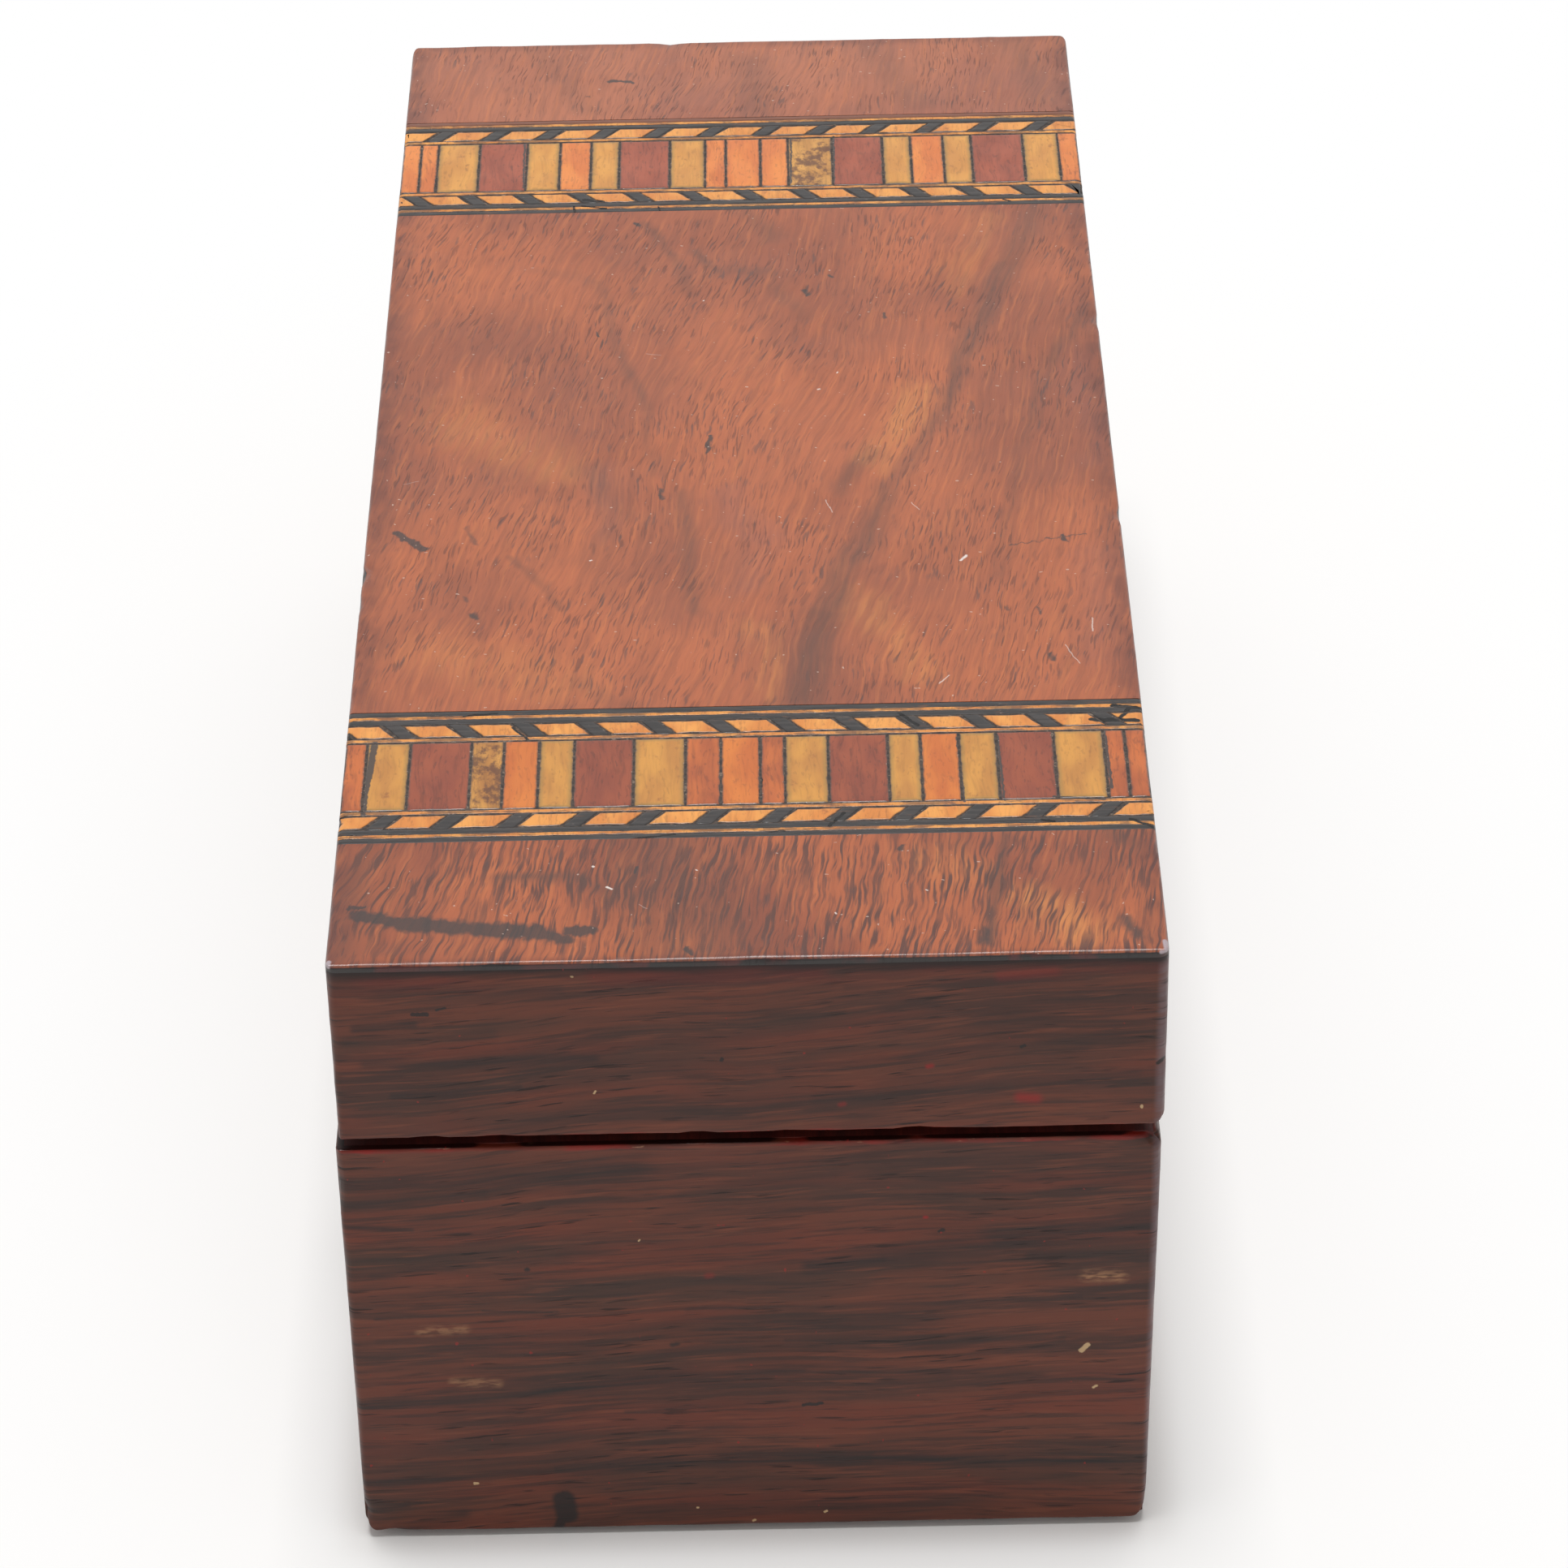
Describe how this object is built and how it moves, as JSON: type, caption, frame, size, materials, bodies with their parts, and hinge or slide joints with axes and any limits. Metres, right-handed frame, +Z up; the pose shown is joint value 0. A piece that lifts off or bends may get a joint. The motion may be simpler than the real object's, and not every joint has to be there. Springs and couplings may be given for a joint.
{
  "type": "wooden puzzle box",
  "caption": "Veneered wooden puzzle box with a hinged lid, inlaid bands across the top and a hidden sliding catch in the underside.",
  "frame": {"origin": "middle of the underside, on the surface that the box stands on", "axes": "+Z up, +Y along the box from the near end to the far end, +X across it from the hinge side to the opening side"},
  "size_m": [0.1018, 0.23, 0.0902],
  "materials": {
    "walnut": "french-polished figured walnut veneer",
    "rosewood": "french-polished dark striped veneer",
    "ebony": "polished ebonised wood",
    "boxwood": "polished pale wood",
    "orange_wood": "polished orange wood",
    "red_wood": "polished orange-red wood",
    "brown_wood": "polished red-brown wood",
    "olive_wood": "polished olive-yellow wood",
    "spalted_wood": "polished speckled wood",
    "pine": "bare softwood, aged",
    "mahogany": "oiled lining boards",
    "velvet": "worn velvet on card",
    "brass": "aged brass",
    "steel": "aged iron brads"
  },
  "bodies": {
    "base": {"back_wall": "pine", "front_wall": "pine", "near_wall": "pine", "far_wall": "pine", "bottom_board": "pine", "back_veneer": "rosewood", "front_veneer": "rosewood", "near_veneer": "rosewood", "far_veneer": "rosewood", "back_lining": "mahogany", "front_lining": "mahogany", "near_lining": "mahogany", "far_lining": "mahogany", "floor_lining": "velvet", "hinge_base_leaves": "brass", "hinge_pins": "brass", "hinge_base_screws": "brass", "bottom_brads": "steel"},
    "lid": {"lid_top_board": "pine", "lid_back_rail": "pine", "lid_front_rail": "pine", "lid_near_rail": "pine", "lid_far_rail": "pine", "lid_back_veneer": "rosewood", "lid_front_veneer": "rosewood", "lid_near_veneer": "rosewood", "lid_far_veneer": "rosewood", "top_field_near": "walnut", "top_field_centre": "walnut", "top_field_far": "walnut", "near_band_dark_lines": "ebony", "near_band_pale_lines": "boxwood", "near_band_dark_lozenges": "ebony", "near_band_pale_lozenges": "boxwood", "near_band_orange_blocks": "orange_wood", "near_band_red_blocks": "red_wood", "near_band_brown_blocks": "brown_wood", "near_band_olive_blocks": "olive_wood", "near_band_spalted_blocks": "spalted_wood", "far_band_dark_lines": "ebony", "far_band_pale_lines": "boxwood", "far_band_dark_lozenges": "ebony", "far_band_pale_lozenges": "boxwood", "far_band_orange_blocks": "orange_wood", "far_band_red_blocks": "red_wood", "far_band_brown_blocks": "brown_wood", "far_band_olive_blocks": "olive_wood", "far_band_spalted_blocks": "spalted_wood", "lid_back_lining": "mahogany", "lid_front_lining": "mahogany", "lid_near_lining": "mahogany", "lid_far_lining": "mahogany", "lid_ceiling_lining": "velvet", "hinge_lid_leaves": "brass", "hinge_lid_screws": "brass", "keeper_plate": "brass", "keeper_screws": "brass"},
    "secret_slide": {"slide_slip": "pine", "lock_bar": "brass", "slide_screws": "brass"}
  },
  "joints": [
    {"name": "lid_hinge", "type": "hinge", "parent": "base", "child": "lid", "pos_m": [-0.0506, 0, 0.0634], "axis": [0, -1, 0], "range_deg": [0, 94.5]},
    {"name": "slide_catch", "type": "slide", "parent": "base", "child": "secret_slide", "axis": [0, 1, 0], "range_m": [0, 0.006]}
  ]
}
